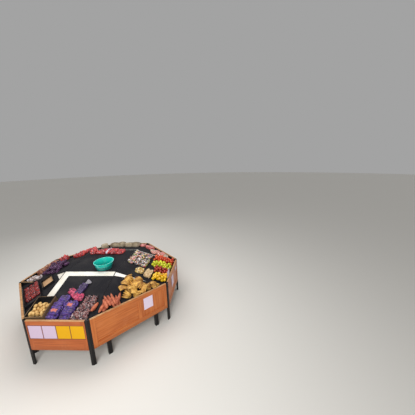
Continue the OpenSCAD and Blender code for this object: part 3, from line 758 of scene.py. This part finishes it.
def filled(name, palette, gap, roughness=0.35, shade=0.25, glints=0.0, net=None, bars=None,
           band=None, **plain):
    """Film or net over goods: colours by tint, painted shade in gaps between, strands, painted
    glints.

    A net is its mesh size, thread colour and share. Bars are printed across by step, colour and
    share. A band is a label between two corners, in a colour.
    """
    made, tree, shader, _ = finish_of(name, roughness, **plain)
    place, tint, stand = remembered(tree)
    ramp = node(tree, "ValToRGB", {"Fac": tint})
    stops = ramp.color_ramp.elements
    ramp.color_ramp.interpolation = "CONSTANT"
    stops[1].position = 1 / len(palette)
    for number in range(2, len(palette)):
        stops.new(number / len(palette))
    for stop, paint in zip(stops, palette):
        stop.color = rgb(*paint)
    cloud = mottle(tree, place, 45, 4)
    colour = over(tree, ramp.outputs[0], soft_step(tree, cloud, 0.4, 0.7), gap, shade)
    # Painted shade in the gaps between the lumps, where the skin sinks.
    colour = over(tree, colour, soft_step(tree, stand, 0.5, 0.05), gap)
    height = times(tree, cloud, 0.3)
    split = xyz(tree, place)
    if bars:
        step, paint, share = bars
        run = maths(tree, "DIVIDE", plus(tree, split[1], times(tree, cloud, 0.02)), step)
        wave = maths(tree, "PINGPONG", run, 1)
        colour = over(tree, colour, soft_step(tree, wave, 0.66, 0.9), paint, share)
    if band:
        low, high, paint = band
        inside = above(tree, split[2], 0.02)
        for axis in (0, 1):
            inside = times(tree, inside, maths(
                tree, "COMPARE", split[axis], (low[axis] + high[axis]) / 2,
                (high[axis] - low[axis]) / 2))
        colour = over(tree, colour, inside, paint)
    if net:
        size, thread, share = net
        strands = use(tree, net_strands, Vector=place, Size=size)["Mask"]
        colour = over(tree, colour, strands, thread, share)
        height = plus(tree, height, strands)
    # Painted highlights: whitish glints on the film or net.
    if glints:
        painted_glint = use(tree, film_glints, Vector=place)["Mask"]
        colour = over(tree, colour, painted_glint, (246, 240, 240), glints)
        height = plus(tree, height, painted_glint)
    coat(tree, shader, colour, height, 0.0012)
    return made


net_fill = (0.05, 0.35, 0.2)
blue_look = dict(palette=((60, 34, 142), (48, 26, 122), (82, 52, 146), (40, 22, 106)),
                 gap=(24, 14, 52), roughness=0.4, net=(0.009, (128, 98, 160), 0.35),
                 bars=(0.021, (150, 108, 150), 0.45))
blue_net = [filled("blue_net", **blue_look),
            filled("blue_net_label", band=((-0.06, -0.028), (0.05, 0.03), (222, 122, 88)),
                   **blue_look)]
labelled = ((0, 3), (1, 4))
shell = new_shell()
for column, across in enumerate((-0.2568, 0.16)):
    for number, (slide, up, lift, wide, deep, high) in enumerate((
            (0.0, -0.118, 0.0, 0.24, 0.18, 0.085), (0.005, 0.0, 0.0, 0.235, 0.18, 0.09),
            (-0.005, 0.118, 0.0, 0.235, 0.18, 0.08), (0.01, -0.045, 0.052, 0.21, 0.16, 0.062),
            (-0.01, 0.075, 0.05, 0.21, 0.16, 0.06), (0.01, 0.24, 0.0, 0.22, 0.19, 0.085))):
        if column == 1 and number == 5:
            continue
        spot = on_mat(0, across, 0.235) @ shifted(slide, up, lift)
        bag(shell, spot @ turned(5 * (-1) ** (number + column)), (wide, deep, high),
            1 + number + 7 * column, net_fill, part=1 if (column, number) in labelled else 0)
piece("blue_bags", shell, "blue_net", blue_net, "blue_net_bags")

plum_net = [filled("magenta_net", ((204, 48, 96), (166, 22, 68), (220, 84, 118)), (82, 12, 42),
                   net=(0.008, (222, 110, 140), 0.3), glints=0.2),
            filled("purple_net", ((60, 36, 98), (78, 54, 104), (44, 24, 76)), (22, 12, 36),
                   net=(0.008, (108, 84, 130), 0.3), glints=0.15),
            filled("twisted_film", ((196, 190, 198), (168, 160, 172)), (120, 110, 122), 0.3,
                   Alpha=0.6)]
shell = new_shell()
for across, up, turn, size, seed in ((-0.15, 0.56, -20, (0.19, 0.14, 0.08), 31),
                                     (0.05, 0.49, -35, (0.2, 0.14, 0.085), 33),
                                     (0.24, 0.45, 10, (0.18, 0.17, 0.085), 34)):
    bag(shell, on_mat(0, across, up, turn=turn), size, seed, net_fill)
upper = on_mat(0, 0.13, 0.61, turn=-10)
bag(shell, upper, (0.18, 0.29, 0.09), 32, net_fill, part=1)

# The purple bag's tied end: pleats drawn into a neck that flares again
tie_l, tie_r, pleats = 0.12, 0.07, 7
place, tint, stand = kept_on(shell)
tied_end = globe(shell, pleats * 4, 16)
for vert in tied_end:
    along = (vert.co.z + 1) / 2
    turn = math.atan2(vert.co.y, vert.co.x)
    ring = math.hypot(vert.co.x, vert.co.y)
    wide = tie_r * (0.3 + 0.9 * abs(along - 0.3) ** 1.1) * ring ** 0.45
    fold = 1 + 0.28 * math.cos(pleats * turn) + 0.2 * noise.noise(vert.co * 3)
    vert.co = (along * tie_l, 1.3 * wide * fold * math.cos(turn),
               tie_r * 0.4 + 0.45 * wide * fold * math.sin(turn))
    # The pleats' valleys are marked low, so the film's finish paints shade in them.
    vert[place], vert[stand] = vert.co, 0.5 + 0.5 * math.cos(pleats * turn)
for face in faces_on(tied_end):
    face.material_index = 2
bmesh.ops.transform(shell, matrix=upper @ shifted(0, 0.11, 0.012) @ turned(66), verts=tied_end)
piece("plum_bags", shell, "plum_net", plum_net, "plum_net_bags")

clear_goods = ((96, 38, 42), (126, 58, 54), (76, 24, 34), (150, 92, 86), (170, 140, 136))
clear_film = filled("clear_film", clear_goods, (40, 18, 24), 0.25, glints=0.5, Coat_Weight=0.5)
shell = new_shell()
rows = ((0.07, 0.21, 0.36), (0.20, 0.34, 0.42), (0.33, 0.48, 0.48))
for row, (low, high, left) in enumerate(rows):
    for number in range(2):
        half = (0.88 - left) / 2
        laid(shell, 0, (left + number * half, left + (number + 1) * half, low, high), 0.09,
             41 + number + 3 * row, (0.04, 0.4, 0.25), 9 * math.sin(4 * row + 2 * number),
             (1.08, 1.15))
piece("clear_fruit_bags", shell, "clear_film", [clear_film], "clear_bags")

# Goods in the two black trays on the front left slope: small red film packs in rows in the long
# tray, and a tan cardboard liner in the short one. The trays are pressed black plastic.
made, tree, shader, place = finish_of("black_plastic", 0.3)
worn = scuffed(tree, place, 0.4)
plastic = blend(tree, worn, rgb(26, 25, 28), rgb(84, 82, 84))
coat(tree, shader, plastic, mottle(tree, place, 500, 1), 0.0002, plus(tree, 0.28, worn))
dress("black_plastic", made, "pack_tray", "upper_tray")

red_pack = filled("red_pack", ((160, 20, 16), (124, 14, 14), (184, 44, 34), (98, 12, 12)),
                  (36, 8, 10), 0.25, glints=0.15, Coat_Weight=0.4)
shell = new_shell()
for column in range(5):
    for row in range(3):
        slide = shifted(-0.106 + 0.124 * (column - 2), 0.097 * (row - 1), 0)
        bag(shell, on_mat(7, -0.05, 0.27, lift=0.004) @ slide
            @ turned(9 * math.sin(5 * column + 2 * row)),
            (0.132, 0.106, 0.055 - 0.006 * ((column + row) % 2)), 3 + column + 5.3 * row,
            (0.03, 0.3, 0.25), detail=(24, 16))
piece("red_film_packs", shell, "red_pack", [red_pack], "red_packs")

liner_l, liner_w, liner_t, liner_flare = 0.342, 0.212, 0.012, 0.008
made, tree, shader, place = finish_of("tan_card", 0.8)
fibres = mottle(tree, stretched(tree, place, (40, 40, 300)), 1, 5)
coat(tree, shader, blend(tree, fibres, rgb(176, 134, 94), rgb(214, 172, 128)), fibres, 0.0004)
shell = new_shell()
for vert in bmesh.ops.create_cube(shell, size=1)["verts"]:
    flare = liner_flare * vert.co.z
    vert.co = (vert.co.x * (liner_l + flare), vert.co.y * (liner_w + flare),
               liner_t * (vert.co.z + 0.5))
bmesh.ops.bevel(shell, geom=list(shell.edges), offset=0.003, segments=2, profile=0.5,
                affect="EDGES", material=-1)
bmesh.ops.transform(shell, matrix=on_mat(7, -0.06, 0.61, lift=0.0036), verts=list(shell.verts))
piece("tray_liner", shell, "card", [made])

# Packs on the right slope: clear packs of mixed fruit, one of yellow fruit, and a crumpled brown
# paper bag against the corner.
mixed_goods = ((228, 218, 210), (112, 62, 96), (132, 146, 66), (222, 184, 92), (196, 84, 84),
               (206, 196, 196), (54, 46, 56), (228, 158, 150))
mixed_pack = filled("mixed_pack", mixed_goods, (52, 44, 50), shade=0.2, glints=0.8, Coat_Weight=0.6)
yellow_pack = filled("yellow_pack", ((228, 186, 84), (236, 206, 130), (204, 158, 66)),
                     (122, 92, 56), shade=0.2, glints=0.7, Coat_Weight=0.6)
shell = new_shell()
for group, (left, right) in enumerate(((-0.20, 0.31), (0.34, 0.85))):
    for column in range(2):
        for row in range(3):
            wide, deep = (right - left) / 2, 0.4 / 3
            laid(shell, 2, (left + column * wide, left + (column + 1) * wide, 0.55 + row * deep,
                            0.55 + (row + 1) * deep), 0.088, 50 + group * 9 + column * 4 + row,
                 (0.052, 0.4, 0.25), 14 * math.sin(3 * row + 5 * column + group), (1.06, 1.06),
                 detail=(30, 20))
laid(shell, 2, (-0.73, -0.38, 0.535, 0.715), 0.088, 77, (0.04, 0.4, 0.25), 5, part=1)
piece("mixed_film_packs", shell, "mixed_pack", [mixed_pack, yellow_pack], "mixed_packs")

kraft = filled("kraft_paper", ((226, 198, 156), (210, 180, 134), (234, 208, 170)), (184, 152, 108),
               0.75, shade=0.4)
shell = new_shell()
laid(shell, 2, (-0.86, -0.28, 0.375, 0.525), 0.08, 81, (0.05, 0.3, 0.55), square_by=0.45)
piece("crumpled_paper_bag", shell, "kraft_paper", [kraft], "paper_bag")

# Bags and sacks round the back: peach and pink packs on the back right slope, and long white
# woven sacks, half full, on the back and back left slopes.
pink_goods = ((238, 168, 150), (222, 188, 158), (240, 146, 138), (206, 132, 118), (228, 204, 178))
pink_pack = filled("pink_pack", pink_goods, (122, 70, 66), 0.3, glints=0.5, Coat_Weight=0.4)
pink_film = filled("pink_film", ((236, 128, 122), (222, 104, 98), (240, 150, 142)), (168, 70, 70),
                   0.3, glints=0.3, Coat_Weight=0.4)
shell = new_shell()
packs = [bag(shell, Matrix.Identity(4), (0.21, 0.15, 0.075), 90 + number, (0.045, 0.35, 0.25),
             detail=(28, 18)) for number in range(3)]
outline = plan(3, [(-0.72, 0.12), (-0.68, 0.10), (0.08, 0.10), (0.12, 0.14), (0.10, 0.46),
                   (0.06, 0.50), (-0.42, 0.50), (-0.72, 0.22)])
found = piled(outline, 0.14, [(0.05, (-0.05, 0.05))] * 3, 61, steep=4)
for pack in packs:
    bmesh.ops.translate(shell, verts=pack, vec=(0, 0, -0.036))
strew(shell, packs, found, on_mat(3, 0, 0), 62, 0.25)
for side, shares, seed, turn in ((3, (0.27, 0.65, 0.11, 0.37), 94, 4),
                                 (4, (-0.97, -0.69, 0.13, 0.31), 95, 0)):
    laid(shell, side, shares, 0.11, seed, (0.09, 0.2, 0.2), turn, part=1)
piece("pink_film_packs", shell, "pink_pack", [pink_pack, pink_film], "pink_packs")

made, tree, shader, _ = finish_of("sack_cloth", 0.85)
place, tint, stand = remembered(tree)
weave = [node(tree, "TexWave", {"Vector": place, "Scale": 160, "Distortion": 0.3},
              bands_direction=direction).outputs[1] for direction in ("X", "Y")]
woven = times(tree, plus(tree, *weave), 0.5)
stain = soft_step(tree, mottle(tree, place, 9, 4), 0.35, 0.7)
cloth = blend(tree, stain, rgb(198, 182, 158), rgb(164, 148, 120))
# Painted shade in the creases between the lumps.
cloth = over(tree, cloth, soft_step(tree, stand, 0.45, 0.0), (126, 110, 88))
coat(tree, shader, over(tree, cloth, woven, (112, 98, 78), 0.2), woven, 0.0006)
shell = new_shell()
for number, (side, low_x, high_x, low_y, high_y) in enumerate((
        (4, -0.66, 0.13, 0.09, 0.39), (4, 0.16, 0.95, 0.09, 0.39), (5, -0.70, -0.44, 0.11, 0.30))):
    middle, size = patch(side, low_x, high_x, low_y, high_y)
    slides = (-1, 1) if size[0] > 0.4 else (0,)
    half = size[0] * (0.56 if len(slides) == 2 else 1)
    for part, slide in enumerate(slides):
        shift = shifted(slide * (size[0] - half) / 2, 0.012 * slide, 0)
        bag(shell, on_mat(side, *middle) @ shift @ turned(4 * slide),
            (half, size[1] * 0.96, 0.185 - 0.015 * part), 101 + 3 * number + part,
            (0.2, 0.1, 0.2), 0.62, detail=(52, 30))
piece("woven_sacks", shell, "sack_cloth", [made], "white_sacks")

# Red nets: knitted red net bags of red fruit on the middle deck and at the back left, one with a
# white paper band.
net_l, loose_fill = 0.254 * cell, (0.07, 0.4, 0.2)
net_goods, red_thread = ((200, 38, 40), (160, 28, 36), (224, 76, 66)), (0.008, (214, 84, 84), 0.4)
red_net = filled("red_net", net_goods + ((140, 26, 34),), (84, 18, 28), net=red_thread, glints=0.45)
banded_net = filled("banded_net", net_goods, (84, 18, 28), net=red_thread, glints=0.3,
                    band=((-0.03, -0.2), (0.02, 0.2), (206, 214, 232)))
shell = new_shell()
deck = shifted(0, 0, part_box("center_mat")[1].z)
for number, (across, wide, high) in enumerate((
        (-0.25, 0.18, 0.085), (-0.15, 0.14, 0.12), (-0.055, 0.14, 0.125), (0.075, 0.19, 0.125),
        (0.22, 0.18, 0.07))):
    spot = deck @ shifted(across * cell, 0.349 * cell + 0.008 * (-1) ** number, 0)
    bag(shell, spot @ turned(6 * math.sin(3 * number)), (wide * cell, net_l * 0.95, high),
        111 + number, (0.06, 0.45, 0.25), part=1 if number == 2 else 0)
bag(shell, deck @ shifted(-0.41 * cell, 0.345 * cell, 0), (0.14 * cell, 0.213 * cell, 0.125), 116,
    loose_fill)
for number, (side, shares, high) in enumerate((
        (6, (-0.98, -0.775, 0.59, 0.90), 0.125), (6, (-0.785, -0.57, 0.59, 0.90), 0.12),
        (6, (-0.98, -0.64, 0.24, 0.40), 0.185), (5, (-0.18, 0.01, 0.54, 0.80), 0.125),
        (5, (-0.01, 0.18, 0.54, 0.80), 0.12))):
    laid(shell, side, shares, high, 121 + number, loose_fill, 5 * (-1) ** number)
piece("red_net_sacks", shell, "red_net", [red_net, banded_net], "red_net_bags")

# Small bags along the left panel: three brown paper-like film bags in a row against it, and two
# pale ones at the left corner.
brown_bag = filled("brown_bag", ((160, 96, 66), (132, 74, 54), (176, 116, 82)), (84, 44, 36), 0.4,
                   glints=0.35)
pale_goods = ((206, 192, 190), (176, 150, 142), (222, 212, 212), (146, 104, 92))
pale_bag = filled("pale_bag", pale_goods, (104, 80, 80), 0.25, glints=0.7, Coat_Weight=0.4)
shell = new_shell()
for number, (shares, high, part) in enumerate((
        ((-0.84, -0.47, 0.061, 0.209), 0.145, 0), ((-0.45, -0.08, 0.061, 0.209), 0.148, 0),
        ((-0.06, 0.31, 0.061, 0.209), 0.145, 0), ((0.56, 0.90, 0.09, 0.27), 0.10, 1),
        ((0.69, 0.95, 0.285, 0.41), 0.10, 1))):
    laid(shell, 6, shares, high, 131 + number, (0.05, 0.35, 0.25), 3 * (-1) ** number, part=part)
piece("small_film_bags", shell, "small_bag", [brown_bag, pale_bag], "small_bags")

# Cards: bare price cards, lavender-white and yellow, pinned in a thin red-brown board frame on
# the front panel and hung on the right-hand ones.
made, tree, shader, place = finish_of("price_card", 0.5, Specular_IOR_Level=0.2)
split = xyz(tree, place)
hung = above(tree, split[0], cell / 2)
yellow = times(tree, above(tree, split[0], 0.006), maths(tree, "LESS_THAN", split[1], -1.2 * cell))
yellow = times(tree, yellow, maths(tree, "LESS_THAN", split[0], cell / 2))
fibres = mottle(tree, place, 60, 4)
# Painted shade: the front cards are a darker lavender than the hung ones.
card = blend(tree, hung, rgb(220, 198, 222), rgb(241, 225, 242))
card = over(tree, card, yellow, (240, 180, 6))
card_shade = blend(tree, yellow, rgb(190, 168, 192), rgb(206, 148, 4))
coat(tree, shader, blend(tree, times(tree, fibres, 0.25), card, card_shade), fibres, 0.0002)
dress("card", made, "price_cards")

made, tree, shader, place = finish_of("card_frame_board", 0.5)
wood = wooden(tree, place, (150, 74, 44), (118, 54, 34))
coat(tree, shader, wood["Colour"], wood["Height"], 0.0004)
dress("card_frame_board", made, "front_card_frame")

# Tub: a round teal polypropylene tub with a rolled rim, put down on the middle deck, its inside
# scratched and a little dusty. Its teal is painted lighter towards the rim and darker on the
# outside wall: painted light and shade.
tub_low, tub_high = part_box("tub")
tub_middle = (tub_low + tub_high) / 2
tub_rim, tub_base = 0.221, 0.171
made, tree, shader, place = finish_of("teal_plastic", 0.28, Coat_Weight=0.2)
worn = scuffed(tree, place, 0.18)
height = xyz(tree, place)[2]
from_axis = node(tree, "VectorMath", {0: place, 1: (tub_middle.x, tub_middle.y, 0)},
                 operation="SUBTRACT").outputs[0]
flat = node(tree, "VectorMath", {0: from_axis, 1: (1, 1, 0)}, operation="MULTIPLY").outputs[0]
radius = node(tree, "VectorMath", {0: flat}, operation="LENGTH").outputs[1]
from_base = maths(tree, "SUBTRACT", height, tub_low.z)
wall_slope = (tub_rim - tub_base) / (tub_high.z - tub_low.z)
wall_line = plus(tree, tub_base, times(tree, from_base, wall_slope))
# Painted shade: the outside wall is darker than the inside.
shaded_outside = times(tree, above(tree, radius, wall_line),
              soft_step(tree, height, tub_high.z - 0.012, tub_high.z - 0.03))
# Painted light: the teal grows lighter from the foot towards the rim.
teal = blend(tree, soft_step(tree, height, ridge_top, ridge_top + 0.17), rgb(10, 150, 140),
             rgb(26, 208, 190))
teal = over(tree, over(tree, teal, shaded_outside, (24, 128, 122)), worn, (128, 214, 200))
coat(tree, shader, teal, mottle(tree, place, 260), 0.0003, plus(tree, 0.26, worn))
dress("teal_plastic", made, "tub")

# Light and floor: soft boxes over the island, from the viewer's side and from behind, on a plain
# pale floor that runs to the horizon.
floor_mesh = bmesh.new()
bmesh.ops.create_circle(floor_mesh, cap_ends=True, segments=96, radius=60)
floor_data = bpy.data.meshes.new("floor")
floor_mesh.to_mesh(floor_data)
floor_mesh.free()
floor = placed("floor", floor_data)
floor_data.materials.append(finish_of("floor", 0.7, Base_Color=rgb(240, 237, 230))[0])

world = bpy.data.worlds.new("world")
world.use_nodes = True
sky = world.node_tree.nodes["Background"].inputs
sky["Color"].default_value = rgb(240, 240, 240)
sky["Strength"].default_value = 0.42
bpy.context.scene.world = world

for name, place, aim, size, power in (
        ("ceiling_light", (0.0, 0.0, 5.0), (0, 0, 1), (5, 3), 120),
        ("front_light", (1.5, -6.5, 4.5), (0, 0, 0.8), (4, 3), 250),
        ("back_light", (-3.0, 6.0, 4.5), (0, 0, 0.8), (4, 3), 70)):
    lamp = bpy.data.lights.new(name, "AREA")
    lamp.shape, lamp.size, lamp.size_y = "RECTANGLE", *size
    lamp.energy = power
    holder = placed(name, lamp)
    holder.location = place
    holder.rotation_euler = (Vector(aim) - Vector(place)).to_track_quat("-Z", "Y").to_euler()

bpy.context.scene.view_settings.view_transform = "Standard"
